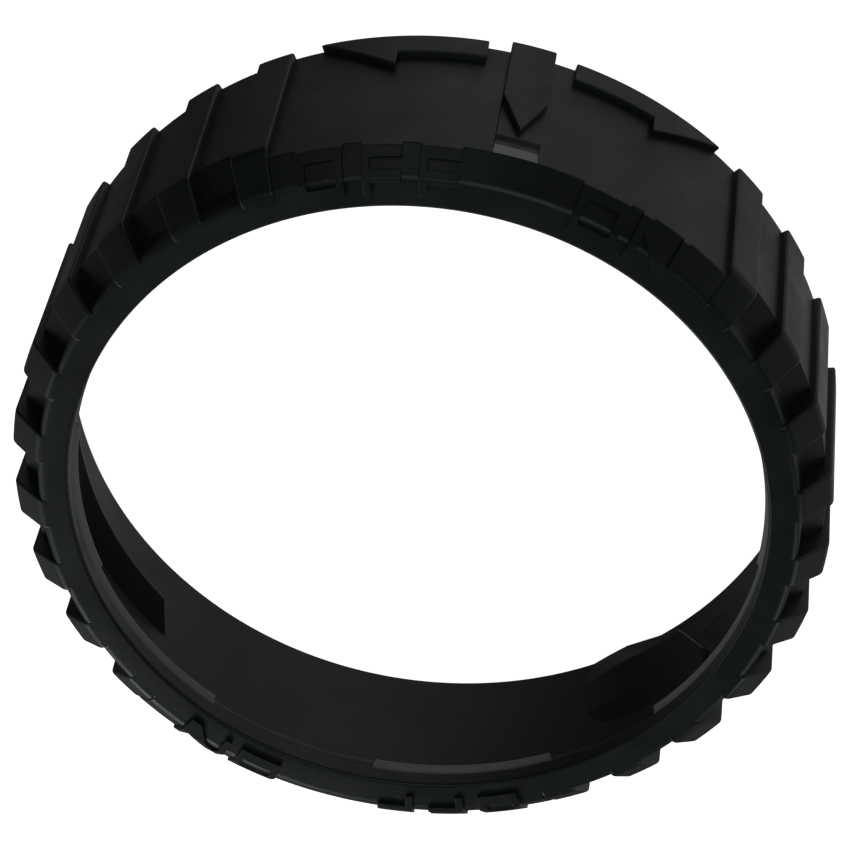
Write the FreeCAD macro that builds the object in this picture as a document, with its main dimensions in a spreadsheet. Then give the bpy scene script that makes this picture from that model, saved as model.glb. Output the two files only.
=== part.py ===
import FreeCAD, Part
import math
import os

import Sketcher
from FreeCAD import Placement, Rotation, Vector

# A one-piece moulded twist-lock ring, 65 mm high round a 200 mm lid hole. The axis is +Z, the plain rim
# stands on Z = 0 and the flange round the lid hole is on top. The front pointer is at -Y. Every feature
# comes twice, half a turn apart. Angles are in degrees from the pointer, anticlockwise seen from above.

DIMENSIONS = {
    # The section of the ring.
    "ring_height": 65,
    "lid_hole_radius": 100,
    "flange_thickness": 5.4,
    "shoulder_radius": 109.2,
    "wall_radius": 116,
    "grip_radius": 118.1,
    "grip_bend_height": 55.4,
    "pocket_height": 48.5,
    "pocket_top_height": 56,
    "bore_radius": 111.4,
    "bore_taper": 0.6,
    "seat_foot_height": 44,
    "seat_radius": 105.5,
    "seat_top_height": 51,
    # Grip ribs, in two groups between the word pads.
    "pad_half_angle": 33.6,
    "rib_angle": 5.46,
    "rib_pitch": 11.927,
    # Pointer: a strip let into the wall, with a finger scoop and a raised arrow head.
    "strip_half_angle": 3.1,
    "strip_floor_radius": 113,
    "pointer_radius": 119.3,
    "pointer_neck_height": 29.7,
    "pointer_tip_height": 48,
    "scoop_foot_height": 46.5,
    "scoop_radius": 115,
    "scoop_height": 52,
    # Half-arrows along the rim.
    "arrow_start_angle": 6.2,
    "arrow_barb_angle": 18.3,
    "arrow_tip_angle": 29.7,
    "arrow_tail_height": 9.3,
    "arrow_barb_height": 16.8,
    # Raised words on the shoulder.
    "letter_height": 1.0,
    "letter_top": 3.1,
    "letter_foot": 16.4,
    "letter_stem": 2.2,
    "letter_top_bar": 4.4,
    "letter_bar": 3.3,
    "letter_bar_gap": 3.4,
    "word_foot_radius": 104,
    # Lips that hold the lid against the flange.
    "lip_top_height": 56,
    "lip_rise": 2.4,
    "lip_thickness": 2.5,
    "lip_radius": 99.6,
    "lip_step_radius": 98.7,
    "lip_short_start": 4.4,
    "lip_short_end": 37,
    "lip_long_start": 56.5,
    "lip_long_end": 156,
    "lip_step_start": 92,
    "lip_step_end": 123.4,
    # Bayonet stops and cams that hold the ring on its housing.
    "stop_start": 38.5,
    "stop_end": 62.5,
    "stop_rim_radius": 109.3,
    "stop_radius": 107,
    "stop_crest_height": 27,
    "stop_top_height": 33,
    "cam_start": 64.5,
    "cam_end": 146.5,
    "cam_radius": 105.2,
    "cam_foot_height": 23.5,
    "cam_edge_height": 24.5,
    "cam_crest_height": 26,
    "cam_top_height": 31.5,
    # Depth of the blocks that cut the raised outlines.
    "stencil_depth": 14,
}

RIBS_PER_GROUP = 10
SIDES = {"front": 0, "rear": 180}
FRONT_ANGLE = -90
FULL_TURN = 360

# Letters of each word as (letter, middle angle, width in mm). They read clockwise, tops to the wall.
WORDS = {
    "off": [("O", 26.5, 12.8), ("F", 17.8, 10.9), ("F", 9.7, 10.9)],
    "on": [("O", -13.4, 14.0), ("N", -22.8, 15.2)],
}
WORD_SPANS = {"off": (6, 31.5), "on": (-28.5, -9)}


class Size:
    """A size as its value in mm or degrees, with the same sum written as an expression on the sheet."""

    def __init__(self, value, text):
        self.value = value
        self.text = text

    def __add__(self, other):
        other = as_size(other)
        return Size(self.value + other.value, f"({self.text} + {other.text})")

    def __sub__(self, other):
        other = as_size(other)
        return Size(self.value - other.value, f"({self.text} - {other.text})")

    def __mul__(self, other):
        other = as_size(other)
        return Size(self.value * other.value, f"({self.text} * {other.text})")

    def __truediv__(self, other):
        other = as_size(other)
        return Size(self.value / other.value, f"({self.text} / {other.text})")

    def __neg__(self):
        return Size(-self.value, f"(-{self.text})")


def as_size(number):
    return number if isinstance(number, Size) else Size(float(number), f"({number})")


doc = FreeCAD.newDocument("TwistLockRing")
sheet = doc.addObject("Spreadsheet::Sheet", "Sizes")
for row, (alias, number) in enumerate(DIMENSIONS.items(), start=1):
    sheet.set(f"A{row}", alias)
    sheet.set(f"B{row}", str(number))
    sheet.setAlias(f"B{row}", alias)
doc.recompute()


def size(alias):
    return Size(float(sheet.get(alias)), f"Sizes.{alias}")


def half_turn_to(angle):
    """The body's turn about Z that takes its XZ plane to an angle measured from the pointer."""
    return Placement(Vector(0, 0, 0), Rotation(Vector(0, 0, 1), FRONT_ANGLE + angle))


def add_outline(sketch, points):
    """Adds one closed outline to a sketch, each corner bound to the sheet."""
    first = len(sketch.Geometry)
    corners = [(as_size(across), as_size(up)) for across, up in points]
    count = len(corners)
    for index, (across, up) in enumerate(corners):
        next_across, next_up = corners[(index + 1) % count]
        start = Vector(across.value, up.value, 0)
        end = Vector(next_across.value, next_up.value, 0)
        sketch.addGeometry(Part.LineSegment(start, end), False)
    for index in range(count):
        line = first + index
        following = first + (index + 1) % count
        sketch.addConstraint(Sketcher.Constraint("Coincident", line, 2, following, 1))
    for index, corner in enumerate(corners):
        for direction, coordinate in zip(("DistanceX", "DistanceY"), corner):
            rule = Sketcher.Constraint(direction, -1, 1, first + index, 1, coordinate.value)
            number = sketch.addConstraint(rule)
            sketch.setExpression(f"Constraints[{number}]", coordinate.text)


def add_sketch(body, plane_role, *outlines):
    plane = next(item for item in body.Origin.OriginFeatures if item.Role == plane_role)
    sketch = body.newObject("Sketcher::SketchObject", f"{body.Name}_outline")
    sketch.AttachmentSupport = [(plane, "")]
    sketch.MapMode = "FlatFace"
    for outline in outlines:
        add_outline(sketch, outline)
    return sketch


def ring_segment(label, outline, start, end):
    """A section of (radius, height) corners turned about Z from one angle to another."""
    start = as_size(start)
    end = as_size(end)
    body = doc.addObject("PartDesign::Body", label)
    body.Label = label
    sketch = add_sketch(body, "XZ_Plane", outline)
    turned = body.newObject("PartDesign::Revolution", f"{label}_turned")
    turned.Profile = sketch
    turned.ReferenceAxis = (sketch, ["V_Axis"])
    turned.Midplane = True
    turned.setExpression("Angle", (end - start).text)
    body.Placement = half_turn_to((start.value + end.value) / 2)
    body.setExpression(".Placement.Rotation.Angle", ((start + end) / 2 + FRONT_ANGLE).text)
    return body


def stencil(label, placement, *outlines):
    """A block with the given outlines, across the plane of its placement."""
    body = doc.addObject("PartDesign::Body", label)
    body.Label = label
    sketch = add_sketch(body, "XY_Plane", *outlines)
    block = body.newObject("PartDesign::Pad", f"{label}_block")
    block.Profile = sketch
    block.Midplane = True
    block.setExpression("Length", "Sizes.stencil_depth")
    body.Placement = placement
    return body


def common(label, base, tool):
    shared = doc.addObject("Part::Common", label)
    shared.Label = label
    shared.Base = base
    shared.Tool = tool
    return shared


def fuse(label, base, tool):
    joined = doc.addObject("Part::Fuse", label)
    joined.Label = label
    joined.Base = base
    joined.Tool = tool
    return joined


def wall_placement(angle):
    """On the outer wall at an angle: X runs anticlockwise, Y up and Z outwards."""
    turn = math.radians(FRONT_ANGLE + angle)
    outwards = Vector(math.cos(turn), math.sin(turn), 0)
    along = Vector(-math.sin(turn), math.cos(turn), 0)
    rotation = Rotation(along, Vector(0, 0, 1), outwards, "ZXY")
    return Placement(outwards * size("wall_radius").value, rotation)


def shoulder_placement(angle):
    """On the grip bend at an angle: X runs clockwise, Y down the shoulder and Z straight off it."""
    turn = math.radians(FRONT_ANGLE + angle)
    outwards = Vector(math.cos(turn), math.sin(turn), 0)
    clockwise = Vector(math.sin(turn), -math.cos(turn), 0)
    fall = size("ring_height").value - size("grip_bend_height").value
    spread = size("grip_radius").value - size("shoulder_radius").value
    down = (outwards * spread - Vector(0, 0, fall)).normalize()
    bend = outwards * size("grip_radius").value + Vector(0, 0, size("grip_bend_height").value)
    return Placement(bend, Rotation(clockwise, down, clockwise.cross(down), "ZXY"))


def shoulder_height(radius):
    """The height of the sloping shoulder at a radius."""
    fall = size("ring_height") - size("grip_bend_height")
    spread = size("grip_radius") - size("shoulder_radius")
    return size("ring_height") - (radius - size("shoulder_radius")) * fall / spread


def bore_at(height):
    """The radius of the slightly tapered bore at a height below the lid seat."""
    return size("bore_radius") - size("bore_taper") * height / size("seat_foot_height")


def pocket_at(radius):
    """The height of the sloping pocket floor between two ribs at a radius."""
    rise = size("pocket_top_height") - size("pocket_height")
    depth = size("wall_radius") - size("shoulder_radius")
    return size("pocket_height") + (size("wall_radius") - radius) * rise / depth


def across_wall(angle, middle):
    """How far an angle lies from a middle angle, measured along the flat of the outer wall."""
    value = size("wall_radius").value * math.sin(math.radians(angle.value - middle))
    text = f"(Sizes.wall_radius * sin(({angle.text} - ({middle})) * 1 deg))"
    return Size(value, text)


def cut_channels(body):
    """Cuts the two channels that the pointer strips are let into."""
    past_wall = size("grip_radius")
    channel = [
        (size("strip_floor_radius"), -1),
        (past_wall, -1),
        (past_wall, size("pocket_top_height")),
        (size("strip_floor_radius"), size("pocket_top_height")),
    ]
    sketch = add_sketch(body, "XZ_Plane", channel)
    cut = body.newObject("PartDesign::Groove", f"{body.Label}_channel")
    cut.Profile = sketch
    cut.ReferenceAxis = (sketch, ["V_Axis"])
    cut.Midplane = True
    cut.setExpression("Angle", "Sizes.strip_half_angle * 2")
    doc.recompute()
    both = body.newObject("PartDesign::PolarPattern", f"{body.Label}_channels")
    both.Originals = [cut]
    both.Axis = (sketch, ["V_Axis"])
    both.Angle = FULL_TURN
    both.Occurrences = len(SIDES)
    body.Tip = both


def make_wall():
    """The plain skirt and, above it, the thicker band that the lid sits in."""
    foot = size("seat_foot_height")
    underside = size("ring_height") - size("flange_thickness")
    skirt_outline = [
        (size("bore_radius"), 0),
        (size("wall_radius"), 0),
        (size("wall_radius"), foot),
        (bore_at(foot), foot),
    ]
    seat_outline = [
        (bore_at(foot), foot),
        (size("wall_radius"), foot),
        (size("wall_radius"), size("pocket_height")),
        (size("shoulder_radius"), size("pocket_top_height")),
        (size("shoulder_radius"), underside),
        (size("seat_radius"), underside),
        (size("seat_radius"), size("seat_top_height")),
    ]
    skirt = ring_segment("skirt_wall", skirt_outline, -FULL_TURN / 2, FULL_TURN / 2)
    seat = ring_segment("lid_seat", seat_outline, -FULL_TURN / 2, FULL_TURN / 2)
    for body in (skirt, seat):
        cut_channels(body)
    return [skirt, seat]


def make_flange():
    underside = size("ring_height") - size("flange_thickness")
    outline = [
        (size("lid_hole_radius"), underside),
        (size("shoulder_radius"), underside),
        (size("shoulder_radius"), size("ring_height")),
        (size("lid_hole_radius"), size("ring_height")),
    ]
    return ring_segment("lid_flange", outline, -FULL_TURN / 2, FULL_TURN / 2)


def make_ribs():
    outline = [
        (size("wall_radius"), 0),
        (size("grip_radius"), 0),
        (size("grip_radius"), size("grip_bend_height")),
        (size("shoulder_radius"), size("ring_height")),
        (size("shoulder_radius"), size("pocket_top_height")),
        (size("wall_radius"), size("pocket_height")),
    ]
    ribs = []
    for side_turn in SIDES.values():
        for place in range(RIBS_PER_GROUP):
            start = size("pad_half_angle") + size("rib_pitch") * place + side_turn
            label = f"grip_rib_{len(ribs) + 1:02d}"
            ribs.append(ring_segment(label, outline, start, start + size("rib_angle")))
    return ribs


def make_pads():
    """The plain stretches of shoulder that carry the words, either side of each pointer."""
    outline = [
        (size("wall_radius"), size("pocket_height")),
        (size("wall_radius"), shoulder_height(size("wall_radius"))),
        (size("shoulder_radius"), size("ring_height")),
        (size("shoulder_radius"), size("pocket_top_height")),
    ]
    inner = size("strip_half_angle")
    outer = size("pad_half_angle")
    pads = []
    for side, turn in SIDES.items():
        pads.append(ring_segment(f"off_pad_{side}", outline, inner + turn, outer + turn))
        pads.append(ring_segment(f"on_pad_{side}", outline, -outer + turn, -inner + turn))
    return pads


def make_pointers():
    strip_outline = [
        (size("strip_floor_radius"), 0),
        (size("wall_radius"), 0),
        (size("wall_radius"), size("scoop_foot_height")),
        (size("scoop_radius"), size("scoop_height")),
        (size("wall_radius"), shoulder_height(size("wall_radius"))),
        (size("shoulder_radius"), size("ring_height")),
        (size("shoulder_radius"), size("pocket_top_height")),
        (size("strip_floor_radius"), pocket_at(size("strip_floor_radius"))),
    ]
    layer_outline = [
        (size("strip_floor_radius"), 0),
        (size("pointer_radius"), 0),
        (size("pointer_radius"), size("pointer_tip_height")),
        (size("strip_floor_radius"), size("pointer_tip_height")),
    ]
    half = size("strip_half_angle")
    edge = across_wall(half, 0)
    head = [
        (-edge, -1),
        (edge, -1),
        (edge, size("pointer_neck_height")),
        (0, size("pointer_tip_height")),
        (-edge, size("pointer_neck_height")),
    ]
    pointers = []
    for side, turn in SIDES.items():
        strip = ring_segment(f"strip_{side}", strip_outline, -half + turn, half + turn)
        layer = ring_segment(f"pointer_layer_{side}", layer_outline, -half + turn, half + turn)
        shape = stencil(f"head_{side}", wall_placement(turn), head)
        raised = common(f"pointer_head_{side}", layer, shape)
        pointers.append(fuse(f"pointer_{side}", strip, raised))
    return pointers


def make_arrows():
    layer_outline = [
        (size("wall_radius"), 0),
        (size("grip_radius"), 0),
        (size("grip_radius"), size("arrow_barb_height")),
        (size("wall_radius"), size("arrow_barb_height")),
    ]
    start = size("arrow_start_angle")
    barb = size("arrow_barb_angle")
    tip = size("arrow_tip_angle")
    middle = (start.value + tip.value) / 2
    outline = [
        (across_wall(start, middle), -1),
        (across_wall(tip, middle), -1),
        (across_wall(tip, middle), 0),
        (across_wall(barb, middle), size("arrow_barb_height")),
        (across_wall(barb, middle), size("arrow_tail_height")),
        (across_wall(start, middle), size("arrow_tail_height")),
    ]
    mirrored = [(-across, up) for across, up in outline]
    arrows = []
    for side, turn in SIDES.items():
        off_layer = ring_segment(f"off_arrow_layer_{side}", layer_outline, start + turn, tip + turn)
        off_shape = stencil(f"off_arrow_shape_{side}", wall_placement(turn + middle), outline)
        arrows.append(common(f"off_arrow_{side}", off_layer, off_shape))
        on_layer = ring_segment(f"on_arrow_layer_{side}", layer_outline, -tip + turn, -start + turn)
        on_shape = stencil(f"on_arrow_shape_{side}", wall_placement(turn - middle), mirrored)
        arrows.append(common(f"on_arrow_{side}", on_layer, on_shape))
    return arrows


def letter_outlines(letter, width):
    """Plain block strokes, drawn from the letter's middle, with Y pointing to the letter's top."""
    side = as_size(width) / 2
    top = -size("letter_top")
    foot = -size("letter_foot")
    stem = size("letter_stem")
    top_bar = size("letter_top_bar")
    bar = size("letter_bar")
    if letter == "O":
        rim = [(-side, foot), (side, foot), (side, top), (-side, top)]
        hole = [
            (-side + stem, foot + bar),
            (side - stem, foot + bar),
            (side - stem, top - top_bar),
            (-side + stem, top - top_bar),
        ]
        return [rim, hole]
    if letter == "F":
        mid_top = top - top_bar - size("letter_bar_gap")
        mid_foot = mid_top - bar
        return [
            [
                (-side, foot),
                (-side + stem, foot),
                (-side + stem, mid_foot),
                (side, mid_foot),
                (side, mid_top),
                (-side + stem, mid_top),
                (-side + stem, top - top_bar),
                (side, top - top_bar),
                (side, top),
                (-side, top),
            ]
        ]
    slant = stem * 1.2
    return [
        [
            (-side, foot),
            (-side + stem, foot),
            (-side + stem, top - slant - 1),
            (side - stem - slant / 2, foot),
            (side, foot),
            (side, top),
            (side - stem, top),
            (side - stem, foot + slant + 1),
            (-side + stem + slant / 2, top),
            (-side, top),
        ]
    ]


def make_words():
    """Letters that stand off the shoulder and fold over its edge onto the flange."""
    lift = size("letter_height")
    fall = size("ring_height") - size("grip_bend_height")
    spread = size("grip_radius") - size("shoulder_radius")
    slope = math.hypot(fall.value, spread.value)
    # Where the lifted shoulder meets the lifted flange face, and where it meets the wall's own line.
    edge_radius = size("shoulder_radius") + (as_size(slope) - spread) * lift / fall
    wall_edge = shoulder_height(size("wall_radius"))
    layer_outline = [
        (size("word_foot_radius"), size("ring_height")),
        (size("shoulder_radius"), size("ring_height")),
        (size("wall_radius"), wall_edge),
        (size("wall_radius"), wall_edge + lift * as_size(slope) / spread),
        (edge_radius, size("ring_height") + lift),
        (size("word_foot_radius"), size("ring_height") + lift),
    ]
    words = []
    for word, letters in WORDS.items():
        start, end = WORD_SPANS[word]
        for side, turn in SIDES.items():
            solids = []
            for place, (letter, angle, width) in enumerate(letters, start=1):
                name = f"{word}_letter_{place}_{side}"
                layer = ring_segment(f"{name}_layer", layer_outline, start + turn, end + turn)
                spot = shoulder_placement(angle + turn)
                shape = stencil(f"{name}_shape", spot, *letter_outlines(letter, width))
                solids.append(common(name, layer, shape))
            group = doc.addObject("Part::Compound", f"{word}_word_{side}")
            group.Label = f"{word}_word_{side}"
            group.Links = solids
            words.append(group)
    return words


def make_lips():
    """Lips with a sloping upper face. The long lip stands further in over its middle stretch."""

    def lip(label, kind, inner_radius, turn):
        outline = [
            (inner_radius, size("lip_top_height") - size("lip_thickness")),
            (size("seat_radius"), size("lip_top_height") - size("lip_thickness")),
            (size("seat_radius"), size("lip_top_height") + size("lip_rise")),
            (inner_radius, size("lip_top_height")),
        ]
        start = size(f"lip_{kind}_start") + turn
        end = size(f"lip_{kind}_end") + turn
        return ring_segment(label, outline, start, end)

    lips = []
    for side, turn in SIDES.items():
        lips.append(lip(f"lid_lip_short_{side}", "short", size("lip_radius"), turn))
        ledge = lip(f"long_lip_ledge_{side}", "long", size("lip_radius"), turn)
        step = lip(f"long_lip_step_{side}", "step", size("lip_step_radius"), turn)
        lips.append(fuse(f"lid_lip_long_{side}", ledge, step))
    return lips


def make_bayonets():
    stop_outline = [
        (size("stop_rim_radius"), 0),
        (size("bore_radius"), 0),
        (bore_at(size("stop_top_height")), size("stop_top_height")),
        (size("stop_radius"), size("stop_crest_height")),
    ]
    cam_outline = [
        (size("cam_radius"), size("cam_edge_height")),
        (bore_at(size("cam_foot_height")), size("cam_foot_height")),
        (bore_at(size("cam_top_height")), size("cam_top_height")),
        (size("cam_radius"), size("cam_crest_height")),
    ]
    pieces = []
    for side, turn in SIDES.items():
        for kind, outline in (("stop", stop_outline), ("cam", cam_outline)):
            start = size(f"{kind}_start") + turn
            end = size(f"{kind}_end") + turn
            pieces.append(ring_segment(f"bayonet_{kind}_{side}", outline, start, end))
    return pieces


def check(pieces):
    for item in doc.Objects:
        if "Invalid" in item.State or "Error" in item.State:
            raise RuntimeError(f"{item.Label} failed: {item.State}")
    for piece in pieces:
        if piece.Shape.isNull() or not piece.Shape.isValid() or not piece.Shape.Solids:
            raise RuntimeError(f"{piece.Label} has no valid solid")


def export(pieces):
    os.makedirs("parts", exist_ok=True)
    for piece in pieces:
        path = os.path.join("parts", f"{piece.Label}.step")
        piece.Shape.exportStep(path)
        print(f"{piece.Label:22s} {piece.Shape.Volume:12.1f} mm3, {len(piece.Shape.Solids)} solid(s)")


def main():
    pieces = [*make_wall(), make_flange()]
    for make in (make_ribs, make_pads, make_pointers, make_arrows, make_words, make_lips, make_bayonets):
        pieces += make()
    doc.recompute()
    check(pieces)
    export(pieces)


main()
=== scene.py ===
"""The twist-lock ring's looks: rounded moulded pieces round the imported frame, in black plastic."""
import math

import bmesh
import bpy
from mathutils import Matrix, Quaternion, Vector


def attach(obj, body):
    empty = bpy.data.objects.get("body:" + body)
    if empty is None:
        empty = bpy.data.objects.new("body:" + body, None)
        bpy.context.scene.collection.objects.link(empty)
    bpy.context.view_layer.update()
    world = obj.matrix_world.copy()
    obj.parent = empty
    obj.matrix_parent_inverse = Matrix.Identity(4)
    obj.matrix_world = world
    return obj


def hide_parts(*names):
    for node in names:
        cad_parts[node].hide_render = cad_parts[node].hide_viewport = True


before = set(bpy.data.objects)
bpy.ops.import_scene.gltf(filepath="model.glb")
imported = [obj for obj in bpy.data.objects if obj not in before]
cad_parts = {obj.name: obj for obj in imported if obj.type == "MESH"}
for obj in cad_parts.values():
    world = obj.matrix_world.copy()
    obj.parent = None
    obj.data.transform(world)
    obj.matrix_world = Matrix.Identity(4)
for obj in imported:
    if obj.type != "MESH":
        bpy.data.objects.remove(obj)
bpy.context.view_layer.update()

MM = 0.001
BODY = "root"
FRONT_ANGLE = -90
SIDES = {"front": 0, "rear": 180}
RIBS = 20
ARC_STEPS = 4
ANGLE_STEP = 1.0
SHARP_ANGLE = math.radians(38)
BEVEL_ANGLE = math.radians(30)
# The most of a straight length that the rounding at one end of it may use.
ROUNDING_SHARE = 0.48
# How far towards its inner path a bar starts when it grows out of the wall.
SUNK_SHARE = 0.72
# Corners of an outline that are nearer than this, in mm, are the same.
NEAR = 1e-4


class Reach:
    """Where a CAD node lies: angles from the front pointer in degrees, radii and heights in mm."""

    def __init__(self, name):
        places = [vertex.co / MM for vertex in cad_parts[name].data.vertices]
        middle = sum((Vector((p.x, p.y)) for p in places), Vector((0, 0)))
        self.middle = math.degrees(math.atan2(middle.y, middle.x)) - FRONT_ANGLE
        offsets = [
            (math.degrees(math.atan2(p.y, p.x)) - FRONT_ANGLE - self.middle + 180) % 360 - 180
            for p in places
        ]
        radii = [math.hypot(p.x, p.y) for p in places]
        self.start = self.middle + min(offsets)
        self.end = self.middle + max(offsets)
        self.inner = min(radii)
        self.outer = max(radii)
        self.low = min(p.z for p in places)
        self.high = max(p.z for p in places)


flange = Reach("lid_flange")

TOP = flange.high
FLANGE_FOOT = flange.low
HOLE = flange.inner
SHOULDER = flange.outer
WALL = Reach("skirt_wall").outer
SEAT = Reach("lid_seat").inner
BORE = Reach("bayonet_stop_front").outer
GRIP = Reach("grip_rib_01").outer
# The rest of the section: heights in mm where a rib bends inwards, where the pocket between two ribs starts
# and ends, and where the bore widens into the lid's seat.
GRIP_BEND = 55.4
POCKET = 48.5
POCKET_TOP = 56
SEAT_FOOT = 44
SEAT_EDGE = 51
BORE_TAPER = 0.6
# The strip under each pointer, let into the wall, and its finger scoop.
STRIP_FLOOR = 113
STRIP_HALF_ANGLE = 3.1
# The seam along one side of the strip, in mm, and the same as an angle at the wall.
SEAM_WIDTH = 0.24
SEAM_ANGLE = 0.12
SCOOP = 115.2
SCOOP_START = 47.5
SCOOP_DEEPEST = 49.5
# The pointer's head, which thins towards its tip.
HEAD_NECK = 28.7
HEAD_TIP = 45.7
HEAD_THINNING = 1.6
# The half-arrows: angles from the pointer, and heights of the tail and the barb.
ARROW_TAIL = 6.2
ARROW_BARB = 18.3
ARROW_POINT = 29.7
ARROW_TAIL_HEIGHT = 9.3
ARROW_BARB_HEIGHT = 16.8
# The letters: where they start down the shoulder, how far they stand off it and how deep they are rooted.
LETTER_TOP = 3.1
LETTER_LIFT = 1.0
LETTER_ROOT = 0.7
LETTER_RADIUS = 112
# The height of the lips' free edge, and the angles between which each long lip steps further in.
LIP_TIP = 56
LIP_STEP = (92, 123.4)
# The rounding of the edge between shoulder and flange, and a rounding too small to see.
EDGE = 6
HAIRLINE = 0.001
# How far a joined face stands over its neighbour and runs on over it, so that the two meet with no gap.
FLUSH = 0.02
LAP = 3.2


def shoulder_height(radius):
    """The height of the sloping shoulder at a radius."""
    return TOP - (radius - SHOULDER) * (TOP - GRIP_BEND) / (GRIP - SHOULDER)


def bore_at(height):
    """The radius of the tapered bore at a height."""
    return BORE - BORE_TAPER * min(height, SEAT_FOOT) / SEAT_FOOT


def at(angle, radius, height):
    """A point of the ring, in metres, at an angle from the front pointer."""
    turn = math.radians(FRONT_ANGLE + angle)
    return Vector((math.cos(turn) * radius, math.sin(turn) * radius, height)) * MM


def rounded(corners, closed=False):
    """Replaces each (radius, height, rounding) corner with an arc of points."""
    points = []
    count = len(corners)
    for index, (radius, height, rounding) in enumerate(corners):
        corner = Vector((radius, height))
        if not closed and index in (0, count - 1):
            points.append(corner)
            continue
        before = Vector(corners[index - 1][:2]) - corner
        after = Vector(corners[(index + 1) % count][:2]) - corner
        turn = math.pi - before.angle(after)
        longest = min(before.length, after.length) * ROUNDING_SHARE
        reach = min(rounding * math.tan(turn / 2), longest)
        begin = corner + before.normalized() * reach
        finish = corner + after.normalized() * reach
        for step in range(ARC_STEPS + 1):
            share = step / ARC_STEPS
            # A quadratic through the corner follows the fillet closely at these small turns.
            first = begin.lerp(corner, share)
            second = corner.lerp(finish, share)
            points.append(first.lerp(second, share))
    return points


def normals_of(outer, inner):
    """The outward normal at each point of an outer path, away from the inner one."""
    normals = []
    for index, point in enumerate(outer):
        ahead = outer[min(index + 1, len(outer) - 1)]
        behind = outer[max(index - 1, 0)]
        along = (ahead - behind).normalized()
        normal = Vector((along.y, -along.x))
        if normal.dot(point - inner[index]) < 0:
            normal = -normal
        normals.append(normal)
    return normals


def finished_object(name, mesh_data, bevel=0.0):
    """Adds the piece to the scene, its sharp edges kept, or rounded by a bevel in mm."""
    bmesh.ops.recalc_face_normals(mesh_data, faces=mesh_data.faces)
    for face in mesh_data.faces:
        face.smooth = True
    for edge in mesh_data.edges:
        edge.smooth = edge.calc_face_angle(0) < SHARP_ANGLE or bevel > 0
    mesh = bpy.data.meshes.new(name)
    mesh_data.to_mesh(mesh)
    mesh_data.free()
    piece = bpy.data.objects.new(name, mesh)
    bpy.context.scene.collection.objects.link(piece)
    if bevel:
        softened = piece.modifiers.new("Softened edges", "BEVEL")
        softened.width = bevel * MM
        softened.segments = 3
        softened.limit_method = "ANGLE"
        softened.angle_limit = BEVEL_ANGLE
    weighted = piece.modifiers.new("Flat faces stay flat", "WEIGHTED_NORMAL")
    weighted.keep_sharp = True
    return piece


def grid_faces(data, rows, wrap_rows=False):
    """Joins rows of vertices, each row a closed loop, with quads."""
    pairs = list(zip(rows, rows[1:]))
    if wrap_rows:
        pairs.append((rows[-1], rows[0]))
    for row, following in pairs:
        for index in range(len(row)):
            beside = (index + 1) % len(row)
            data.faces.new((row[index], row[beside], following[beside], following[index]))


def side_arc(direction, rounding):
    """The (across, drop) steps, in mm, of the rounding along one side of a bar."""
    if not rounding:
        return [(0, 0)]
    turns = [math.pi / 2 * step / ARC_STEPS for step in range(ARC_STEPS + 1)]
    return [
        (direction * rounding * (1 - math.cos(turn)), rounding * (1 - math.sin(turn))) for turn in turns
    ]


def bar(name, outer_corners, inner_corners, start, end, edges, lean=None, rise=0):
    """A rounded length of moulding between two angles, its outer path over its inner one.

    edges are the roundings along its two sides, and lean(radius, height) gives how far in mm each of
    them is moved out. Over its first rise degrees it grows out of the wall.
    """
    outer = rounded(outer_corners)
    inner = rounded(inner_corners)
    normals = normals_of(outer, inner)
    first_arc = side_arc(1, edges[0])
    last_arc = side_arc(-1, edges[1])
    spans = max(1, math.ceil((end - start) / ANGLE_STEP))
    data = bmesh.new()
    rows = []
    for point, core, normal in zip(outer, inner, normals):
        first_shift, last_shift = lean(point.x, point.y) if lean else (0, 0)
        to_angle = math.degrees(1 / point.x)
        low = start - first_shift * to_angle
        high = end + last_shift * to_angle
        places = [(low + across * to_angle, drop) for across, drop in first_arc]
        first = places[-1][0]
        last = high + last_arc[-1][0] * to_angle
        places += [(first + (last - first) * step / spans, 0) for step in range(1, spans)]
        places += [(high + across * to_angle, drop) for across, drop in reversed(last_arc)]
        top = []
        for angle, drop in places:
            sunk = SUNK_SHARE * max(0, 1 - (angle - low) / rise) ** 2 if rise else 0
            top.append(at(angle, *(point - normal * drop).lerp(core, sunk)))
        foot = [at(angle, *core) for angle, _ in reversed(places)]
        rows.append([data.verts.new(place) for place in top + foot])
    grid_faces(data, rows)
    half = len(rows[0]) // 2
    for row in (rows[0], rows[-1]):
        for index in range(half - 1):
            opposite = len(row) - 1 - index
            data.faces.new((row[index], row[index + 1], row[opposite - 1], row[opposite]))
    return finished_object(name, data)


def turned_ring(name, profile_at, angles):
    """A full ring whose closed section may change from one angle to the next."""
    data = bmesh.new()
    rows = []
    for angle, zone in angles:
        rows.append([data.verts.new(at(angle, *point)) for point in profile_at(zone)])
    grid_faces(data, rows, wrap_rows=True)
    return finished_object(name, data)


def relief(name, outlines, place, slices, bevel):
    """Raised outlines on a curved face, cut at the slices so that they bend with it.

    place(across, up, raised) gives each corner's point.
    """
    data = bmesh.new()
    for outline in outlines:
        data.faces.new([data.verts.new((across, up, 0)) for across, up in outline])
    bmesh.ops.remove_doubles(data, verts=data.verts, dist=NEAR)
    for point, direction in slices:
        geometry = data.verts[:] + data.edges[:] + data.faces[:]
        bmesh.ops.bisect_plane(data, geom=geometry, plane_co=point, plane_no=direction, dist=1e-5)
    extruded = bmesh.ops.extrude_face_region(data, geom=data.faces[:], use_keep_orig=True)
    for item in extruded["geom"]:
        if isinstance(item, bmesh.types.BMVert):
            item.co.z = 1
    for vertex in data.verts:
        vertex.co = place(vertex.co.x, vertex.co.y, vertex.co.z > 0.5)
    return finished_object(name, data, bevel)


def angle_slices(start, end):
    """Cuts across an unrolled outline at even angles."""
    count = math.ceil((end - start) / ANGLE_STEP)
    return [
        ((start + (end - start) * step / count, 0, 0), (1, 0, 0)) for step in range(1, count)
    ]


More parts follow.
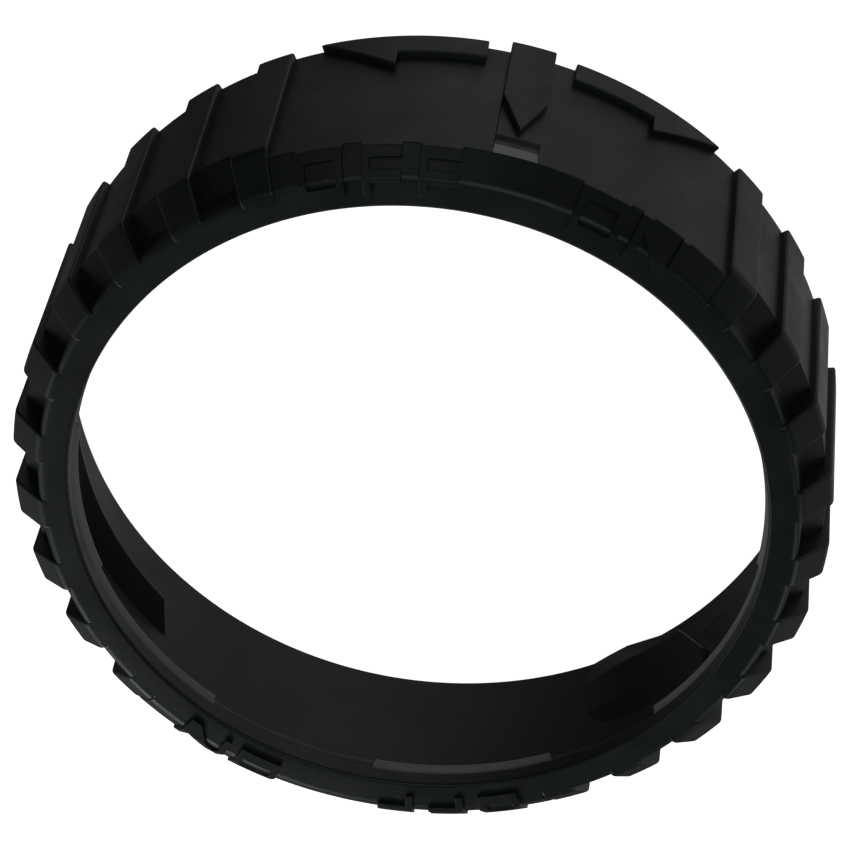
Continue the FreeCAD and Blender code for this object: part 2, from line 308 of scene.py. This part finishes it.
def adopt(piece, *nodes, slot="black_plastic"):
    """The piece rides on the ring's body and stands for its CAD nodes."""
    piece.data.materials.append(materials[slot])
    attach(piece, BODY)
    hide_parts(*nodes)
    return piece


# Materials.


def new_material(name):
    material = bpy.data.materials.new(name)
    material.use_nodes = True
    return material, material.node_tree.nodes, material.node_tree.links


def noise(nodes, links, coordinates, scale, detail, distortion=0.0):
    texture = nodes.new("ShaderNodeTexNoise")
    texture.inputs["Scale"].default_value = scale
    texture.inputs["Detail"].default_value = detail
    texture.inputs["Distortion"].default_value = distortion
    links.new(coordinates, texture.inputs["Vector"])
    return texture.outputs["Fac"]


def ramp(nodes, links, value, stops):
    """Maps a value to colours at the given places."""
    table = nodes.new("ShaderNodeValToRGB")
    elements = table.color_ramp.elements
    while len(elements) < len(stops):
        elements.new(0.5)
    for element, (place, shade) in zip(elements, stops):
        element.position = place
        element.color = (*shade, 1) if isinstance(shade, tuple) else (shade, shade, shade, 1)
    links.new(value, table.inputs["Fac"])
    return table.outputs["Color"]


def moulded_plastic(name, dark, light, smooth, rough, grain):
    """Black plastic: cloudy flow marks in colour and gloss, spark texture and fine scuffs in the bump."""
    material, nodes, links = new_material(name)
    shader = nodes["Principled BSDF"]
    place = nodes.new("ShaderNodeTexCoord").outputs["Object"]
    clouds = noise(nodes, links, place, 22, 5, 0.6)
    links.new(ramp(nodes, links, clouds, [(0.32, dark), (0.72, light)]), shader.inputs["Base Color"])
    gloss = noise(nodes, links, place, 60, 6, 0.4)
    links.new(ramp(nodes, links, gloss, [(0.3, smooth), (0.75, rough)]), shader.inputs["Roughness"])
    spark = noise(nodes, links, place, 1900, 2)
    pores = noise(nodes, links, place, 700, 3)
    stretch = nodes.new("ShaderNodeMapping")
    stretch.inputs["Scale"].default_value = (90, 90, 1400)
    links.new(place, stretch.inputs["Vector"])
    scuffs = noise(nodes, links, stretch.outputs["Vector"], 1, 4)
    height = None
    for layer, strength in ((spark, grain), (pores, grain * 0.6), (scuffs, 0.06)):
        bump = nodes.new("ShaderNodeBump")
        bump.inputs["Strength"].default_value = strength
        bump.inputs["Distance"].default_value = 0.00012
        links.new(layer, bump.inputs["Height"])
        if height:
            links.new(height, bump.inputs["Normal"])
        height = bump.outputs["Normal"]
    links.new(height, shader.inputs["Normal"])
    shader.inputs["Specular IOR Level"].default_value = 0.4
    shader.inputs["Specular Tint"].default_value = (0.88, 1.0, 0.95, 1)
    return material


# The smooth plastic is painted pale grey instead of black: a painted highlight on the lips and the
# pointers' scoop ramps.
materials = {
    "black_plastic": moulded_plastic(
        "black_plastic", (0.0048, 0.0085, 0.0072), (0.0078, 0.0125, 0.011), 0.34, 0.48, 0.32
    ),
    # Painted highlight: a pale grey base colour stands in for the light the lips and ramps catch.
    "black_plastic_smooth": moulded_plastic(
        "black_plastic_smooth", (0.165, 0.172, 0.178), (0.21, 0.218, 0.226), 0.28, 0.36, 0.1
    ),
}


# The ring itself.


def make_wall():
    """The wall, with the pocket edge rounded between ribs and a channel under each pointer strip."""
    pocket_slope = 1.1

    def profile_at(zone):
        outer = STRIP_FLOOR if zone == "channel" else WALL
        slope_foot = POCKET_TOP - (outer - SHOULDER) * pocket_slope if zone == "channel" else POCKET
        return rounded(
            [
                (BORE, 0, 0.7),
                (outer, 0, 0.9),
                (outer, slope_foot, 0.9 if zone == "pocket" else HAIRLINE),
                (SHOULDER, POCKET_TOP, 1.0),
                (SHOULDER, FLANGE_FOOT, HAIRLINE),
                (SEAT, FLANGE_FOOT, HAIRLINE),
                (SEAT, SEAT_EDGE, 0.8),
                (bore_at(SEAT_FOOT), SEAT_FOOT, 2.5),
            ],
            closed=True,
        )

    half_strip = STRIP_HALF_ANGLE
    half_pad = -Reach("on_pad_front").start
    angles = []
    for turn in SIDES.values():
        edges = [
            (-half_pad, -half_strip, "pad"),
            (-half_strip, half_strip, "channel"),
            (half_strip, half_pad, "pad"),
            (half_pad, 180 - half_pad, "pocket"),
        ]
        for start, end, zone in edges:
            count = max(1, math.ceil((end - start) / ANGLE_STEP))
            angles += [(turn + start + (end - start) * step / count, zone) for step in range(count + 1)]
    return adopt(turned_ring("ring_wall_shell", profile_at, angles), "skirt_wall", "lid_seat")


def make_flange():
    """The flat ring round the lid hole, with its edges rounded."""

    def profile_at(_):
        return rounded(
            [
                (HOLE, FLANGE_FOOT, 0.3),
                (SHOULDER, FLANGE_FOOT, HAIRLINE),
                (SHOULDER, TOP, 2.6),
                (HOLE, TOP, 1.0),
            ],
            closed=True,
        )

    angles = [(step * ANGLE_STEP, "ring") for step in range(int(360 / ANGLE_STEP))]
    return adopt(turned_ring("lid_flange_ring", profile_at, angles), "lid_flange")


def make_ribs():
    """Ribs that run up the wall and bend inwards over the shoulder to the flange."""
    outer = [
        (WALL - 1.5, 0, 0),
        (GRIP, 0, 0.8),
        (GRIP, GRIP_BEND, 4.5),
        (SHOULDER, TOP + FLUSH, EDGE),
        (SHOULDER - LAP, TOP - FLUSH, 0),
    ]
    inner = [
        (WALL - 1.6, 1, 0),
        (WALL - 1, 1.6, 0.3),
        (WALL - 1, POCKET - 1.5, 0.3),
        (SHOULDER - 1.3, POCKET_TOP + 1, 0.3),
        (SHOULDER - LAP, TOP - 1, 0),
    ]
    for number in range(1, RIBS + 1):
        name = f"grip_rib_{number:02d}"
        rib = Reach(name)
        adopt(bar(f"{name}_moulding", outer, inner, rib.start, rib.end, (0.8, 0.8)), name)


def make_pads():
    """The plain shoulder between the two groups of ribs, under the words."""
    outer = [
        (WALL, POCKET, 0),
        (WALL, shoulder_height(WALL), 1.0),
        (SHOULDER, TOP + FLUSH, EDGE),
        (SHOULDER - LAP, TOP - FLUSH, 0),
    ]
    inner = [
        (WALL - 1.5, POCKET, 0),
        (WALL - 2, shoulder_height(WALL) - 2, 0.3),
        (SHOULDER - 1, TOP - 3, 0.3),
        (SHOULDER - LAP, TOP - 2, 0),
    ]
    for name in ("off_pad_front", "on_pad_front", "off_pad_rear", "on_pad_rear"):
        pad = Reach(name)
        adopt(bar(f"{name}_moulding", outer, inner, pad.start, pad.end, (0, 0)), name)


def on_wall(radius, root, thinning=0.0):
    """Wraps outlines round the wall, with a raised face that sinks by thinning for each mm of height."""

    def place(angle, height, raised):
        return at(angle, radius - thinning * height if raised else root, height)

    return place


def make_pointers():
    """Strips with a seam along one side, a raised arrow head, and a scoop beyond its tip whose ramp carries
    a painted highlight.
    """
    wall_edge = shoulder_height(WALL)
    outer = [
        (STRIP_FLOOR - 0.5, 0, 0),
        (WALL, 0, 0.9),
        (WALL, SCOOP_START, 3),
        (SCOOP, SCOOP_DEEPEST, 2),
        (WALL - FLUSH, wall_edge, 0.4),
        (SHOULDER, TOP + FLUSH, EDGE),
        (SHOULDER - LAP, TOP - FLUSH, 0),
    ]
    inner = [
        (STRIP_FLOOR - 0.6, 1, 0),
        (STRIP_FLOOR - 0.4, 1.5, 0.3),
        (STRIP_FLOOR - 0.5, SCOOP_START, 0.3),
        (STRIP_FLOOR - 0.5, 51, 0.3),
        (STRIP_FLOOR - 1, 56, 0.3),
        (SHOULDER - 1, TOP - 3, 0.3),
        (SHOULDER - LAP, TOP - 2, 0),
    ]
    ramp_outer = [(SCOOP + FLUSH, SCOOP_DEEPEST + 0.4, 0), (WALL + FLUSH, wall_edge - 0.1, 0)]
    ramp_inner = [(SCOOP - 0.4, SCOOP_DEEPEST + 0.8, 0), (WALL - 0.6, wall_edge - 0.5, 0)]

    def seam(_, height):
        """Open along the wall and closed over the shoulder."""
        return 0, -SEAM_WIDTH if height < wall_edge - 0.6 else 0

    half = STRIP_HALF_ANGLE
    for side, turn in SIDES.items():
        name = f"pointer_{side}"
        place = on_wall(Reach(name).outer, WALL - 2, HEAD_THINNING / HEAD_TIP)
        strip = bar(f"{name}_strip", outer, inner, turn - half, turn + half, (0, 0), seam)
        adopt(strip, name)
        ramp_end = turn + half - SEAM_ANGLE
        # The scoop's ramp is a separate piece in the pale plastic: a painted highlight.
        painted_highlight_ramp = bar(f"{name}_ramp", ramp_outer, ramp_inner, turn - half, ramp_end, (0, 0))
        adopt(painted_highlight_ramp, name, slot="black_plastic_smooth")
        outline = [
            (turn - half, 0),
            (turn + half, 0),
            (turn + half, HEAD_NECK),
            (turn, HEAD_TIP),
            (turn - half, HEAD_NECK),
        ]
        head = relief(f"{name}_head", [outline], place, angle_slices(turn - half, turn + half), 0.45)
        adopt(head, name)


def make_arrows():
    """Half-arrows along the rim, each pointing away from the pointer."""
    half_arrow = [
        (ARROW_TAIL, 0),
        (ARROW_POINT, 0),
        (ARROW_BARB, ARROW_BARB_HEIGHT),
        (ARROW_BARB, ARROW_TAIL_HEIGHT),
        (ARROW_TAIL, ARROW_TAIL_HEIGHT),
    ]
    for side, turn in SIDES.items():
        for word, direction in (("off", 1), ("on", -1)):
            name = f"{word}_arrow_{side}"
            arrow = Reach(name)
            outline = [(turn + direction * across, up) for across, up in half_arrow]
            slices = angle_slices(arrow.start, arrow.end)
            place = on_wall(arrow.outer, WALL - 1)
            adopt(relief(f"{name}_moulding", [outline], place, slices, 0.4), name)


def letter_strokes(letter, width):
    """Plain block letters as closed outlines, from the middle, with the second number down the slope."""
    side = width / 2
    top, foot, stem = LETTER_TOP, 18.0, 2.2
    top_bar, mid_bar, mid_bar_foot, foot_bar = 7.5, 10.9, 14.2, 14.8
    if letter == "O":
        rim = [(-side, foot), (side, foot), (side, top), (-side, top)]
        hole = [
            (-side + stem, foot_bar),
            (side - stem, foot_bar),
            (side - stem, top_bar),
            (-side + stem, top_bar),
        ]
        return [
            [rim[index - 1], rim[index], hole[index], hole[index - 1]] for index in range(len(rim))
        ]
    if letter == "F":
        return [
            [
                (-side, foot),
                (-side + stem, foot),
                (-side + stem, mid_bar_foot),
                (side, mid_bar_foot),
                (side, mid_bar),
                (-side + stem, mid_bar),
                (-side + stem, top_bar),
                (side, top_bar),
                (side, top),
                (-side, top),
            ]
        ]
    return [
        [
            (-side, foot),
            (-side + stem, foot),
            (-side + stem, top_bar + 1),
            (side - stem - 1.2, foot),
            (side, foot),
            (side, top),
            (side - stem, top),
            (side - stem, foot - 4.5),
            (-side + stem + 1.2, top),
            (-side, top),
        ]
    ]


WORDS = {
    "off": [("O", 26.5, 12.8), ("F", 17.8, 10.9), ("F", 9.7, 10.9)],
    "on": [("O", -13.4, 14.0), ("N", -22.8, 15.2)],
}


def make_words():
    """OFF and ON in raised strokes that follow the shoulder and run on over the flange."""
    fall = TOP - GRIP_BEND
    spread = GRIP - SHOULDER
    slope = math.hypot(fall, spread)

    def place(angle, run, raised):
        """Down the slope from the grip bend, then level over the flange."""
        lift = LETTER_LIFT if raised else -LETTER_ROOT
        if run < LETTER_TOP + NEAR:
            # The letters end flush with the wall.
            radius = WALL + FLUSH
            height = shoulder_height(WALL) + lift * slope / spread
        elif run < slope - NEAR:
            radius = GRIP - spread * run / slope + lift * fall / slope
            height = GRIP_BEND + fall * run / slope + lift * spread / slope
        elif run > slope + NEAR:
            radius = SHOULDER - (run - slope)
            height = TOP + lift
        else:
            radius = SHOULDER + lift * (slope - spread) / fall
            height = TOP + lift
        return at(angle, radius, height)

    for word, letters in WORDS.items():
        for side, turn in SIDES.items():
            outlines = []
            for letter, middle, width in letters:
                for stroke in letter_strokes(letter, width):
                    # The letters read clockwise, so their own right is towards smaller angles.
                    outlines.append(
                        [
                            (turn + middle - math.degrees(across / LETTER_RADIUS), run)
                            for across, run in stroke
                        ]
                    )
            name = f"{word}_word_{side}"
            across_all = [across for outline in outlines for across, _ in outline]
            slices = angle_slices(min(across_all), max(across_all))
            slices.append(((0, slope, 0), (0, 1, 0)))
            adopt(relief(f"{name}_relief", outlines, place, slices, 0.3), name)


def make_lips():
    """Beads with a sloping face, painted pale as a highlight. The long one is a ledge with a deeper step on
    its middle.
    """

    def slanted_end(radius, _):
        shift = -0.6 * max(0, HOLE + 2.4 - radius)
        return shift, shift

    def lip(name, node, reach, start, end):
        outer = [
            (SEAT + 0.8, node.high + 0.8, 0),
            (HOLE + 1.2, node.high + 0.5, 0.3),
            (reach, LIP_TIP + 0.2, 0.5),
            (reach + 0.3, LIP_TIP - 0.3, 0.2),
            (SEAT + 0.8, node.low, 0),
        ]
        inner = [
            (SEAT + 0.8, LIP_TIP, 0),
            (HOLE + 4, LIP_TIP, 0.05),
            (reach + 2, LIP_TIP - 0.4, 0.05),
            (reach + 2, LIP_TIP - 0.5, 0.05),
            (SEAT + 0.8, LIP_TIP - 1, 0),
        ]
        return bar(name, outer, inner, start, end, (0.25, 0.25), slanted_end)

    for side, turn in SIDES.items():
        name = f"lid_lip_short_{side}"
        short = Reach(name)
        bead = lip(f"{name}_bead", short, short.inner, short.start, short.end)
        # The pale plastic on the lips is a painted highlight.
        adopt(bead, name, slot="black_plastic_smooth")
        name = f"lid_lip_long_{side}"
        long = Reach(name)
        step_start, step_end = LIP_STEP
        ledge = lip(f"{name}_ledge", long, short.inner, long.start, long.end)
        step = lip(f"{name}_step", long, long.inner, turn + step_start, turn + step_end)
        # The ledge and its step get the same painted highlight.
        for piece in (ledge, step):
            adopt(piece, name, slot="black_plastic_smooth")


def make_stop(side):
    """A pad inside the bore that grows out of it, with a lower edge that climbs from the rim."""
    crest = 26
    edge_foot = 10
    edge_run = 9.7
    edge_slope = 2.25
    end_slant = 0.6

    def climbing_edge(_, height):
        if height < edge_foot:
            return 0, -edge_run - edge_slope * (edge_foot - height)
        return 0, -end_slant * max(0, crest - height)

    name = f"bayonet_stop_{side}"
    pad = Reach(name)
    outer = [
        (BORE + 0.5, 0.2, 0),
        (109.3, 0.2, 0.8),
        (pad.inner + 0.4, 11, 6),
        (pad.inner + 2.2, crest, 8),
        (bore_at(36) + 0.4, 37, 0),
    ]
    inner = [
        (BORE + 0.8, 0.9, 0),
        (BORE + 0.7, 1.5, 0.1),
        (BORE + 0.7, 11, 0.1),
        (BORE + 0.7, crest, 0.1),
        (BORE + 0.8, 36.5, 0),
    ]
    piece = bar(
        f"{name}_moulding", outer, inner, pad.start, pad.end, (0, 0.8), climbing_edge, rise=9
    )
    adopt(piece, name)


def make_cam(side):
    """A sloping ridge inside the bore, with one slanted end."""
    name = f"bayonet_cam_{side}"
    cam = Reach(name)
    end_slant = 1.5

    def slanted_end(_, height):
        return 0, 0.8 - end_slant * max(0, cam.high - height)

    outer = [
        (BORE + 0.5, cam.low + 0.3, 0),
        (cam.inner, cam.low + 1.2, 0.4),
        (cam.inner, cam.low + 2.3, 0.7),
        (BORE + 0.3, cam.high + 0.6, 0),
    ]
    inner = [
        (BORE + 1, cam.low + 1.5, 0),
        (cam.inner + 2.5, cam.low + 1.9, 0.1),
        (cam.inner + 2.5, cam.low + 2.3, 0.1),
        (BORE + 1, cam.high - 1, 0),
    ]
    piece = bar(f"{name}_moulding", outer, inner, cam.start, cam.end, (0.5, 0.3), slanted_end)
    adopt(piece, name)


make_wall()
make_flange()
make_ribs()
make_pads()
make_pointers()
make_arrows()
make_words()
make_lips()
for bayonet_side in SIDES:
    make_stop(bayonet_side)
    make_cam(bayonet_side)


# The stage. Front and behind are the ring's own, and left and right are the picture's.


def make_floor():
    """A pale floor that only the camera sees, so that the studio below the ring lights it."""
    data = bmesh.new()
    size = 8.0
    corners = [(-size, -size, 0), (size, -size, 0), (size, size, 0), (-size, size, 0)]
    data.faces.new([data.verts.new(corner) for corner in corners])
    mesh = bpy.data.meshes.new("floor")
    data.to_mesh(mesh)
    data.free()
    floor = bpy.data.objects.new("floor", mesh)
    bpy.context.scene.collection.objects.link(floor)
    material, nodes, links = new_material("floor")
    shader = nodes["Principled BSDF"]
    shader.inputs["Roughness"].default_value = 0.8
    place = nodes.new("ShaderNodeTexCoord").outputs["Object"]
    shade = noise(nodes, links, place, 3, 2)
    links.new(ramp(nodes, links, shade, [(0.3, 0.86), (0.7, 0.88)]), shader.inputs["Base Color"])
    shader.inputs["Emission Color"].default_value = (1, 1, 1, 1)
    shader.inputs["Emission Strength"].default_value = 1.0
    floor.visible_diffuse = False
    floor.visible_glossy = False
    floor.visible_shadow = False
    mesh.materials.append(material)


def make_softbox(name, place, aim, width, length, power):
    light = bpy.data.lights.new(name, "AREA")
    light.shape = "RECTANGLE"
    light.size = width
    light.size_y = length
    light.energy = power
    lamp = bpy.data.objects.new(name, light)
    lamp.location = place
    lamp.rotation_mode = "QUATERNION"
    lamp.rotation_quaternion = (Vector(aim) - Vector(place)).to_track_quat("-Z", "Y")
    bpy.context.scene.collection.objects.link(lamp)


def make_world():
    """Soft studio surroundings: brightest low on the front right, with a faint glow behind on the left."""
    world = bpy.data.worlds.new("studio")
    world.use_nodes = True
    nodes = world.node_tree.nodes
    links = world.node_tree.links
    direction = nodes.new("ShaderNodeTexCoord").outputs["Generated"]

    def glow(aim, stops):
        """Brightness by how nearly a direction matches the aim."""
        towards = nodes.new("ShaderNodeVectorMath")
        towards.operation = "DOT_PRODUCT"
        towards.inputs[1].default_value = aim
        links.new(direction, towards.inputs[0])
        return ramp(nodes, links, towards.outputs["Value"], stops)

    both = nodes.new("ShaderNodeVectorMath")
    both.operation = "ADD"
    main = glow((-0.62, -0.25, -0.74), [(0.0, 0.02), (0.28, 0.022), (0.76, 0.37), (0.92, 0.25)])
    fill = glow((0.7, 0.7, 0.1), [(0.35, 0.0), (0.95, 0.19)])
    links.new(main, both.inputs[0])
    links.new(fill, both.inputs[1])
    links.new(both.outputs["Vector"], nodes["Background"].inputs["Color"])
    bpy.context.scene.world = world


def make_lights():
    make_softbox("behind", (0.3, 1.35, 0.6), (0, 0, 0), 0.6, 0.4, 3.9)
    make_softbox("front", (0.5, -1.3, 0.6), (0, 0, 0.05), 0.8, 0.4, 0.7)
    make_softbox("overhead", (-0.02, -0.55, 1.25), (0, 0, 0), 1.0, 0.4, 2.4)
    make_softbox("right", (-1.05, 0.8, 0.62), (0, 0, 0.05), 0.6, 0.5, 2.1)
    make_softbox("left", (1.05, 0.8, 0.62), (0, 0, 0.05), 0.5, 0.5, 1.4)


def make_camera():
    """The camera looks down at the front of the ring, turned over so that the flange is lowest."""
    camera = bpy.data.objects.new("camera", bpy.data.cameras.new("camera"))
    camera.data.sensor_width = 36
    camera.data.lens = 152.1
    place = Vector((0.04344, -0.59476, 0.89399))
    target = Vector((0.00234, -0.00513, 0.02889))
    camera.location = place
    camera.rotation_mode = "QUATERNION"
    level = (target - place).to_track_quat("-Z", "Y")
    camera.rotation_quaternion = level @ Quaternion((0, 0, 1), math.radians(-169.07))
    bpy.context.scene.collection.objects.link(camera)
    bpy.context.scene.camera = camera


make_floor()
make_world()
make_lights()
make_camera()
bpy.context.scene.view_settings.view_transform = "Standard"
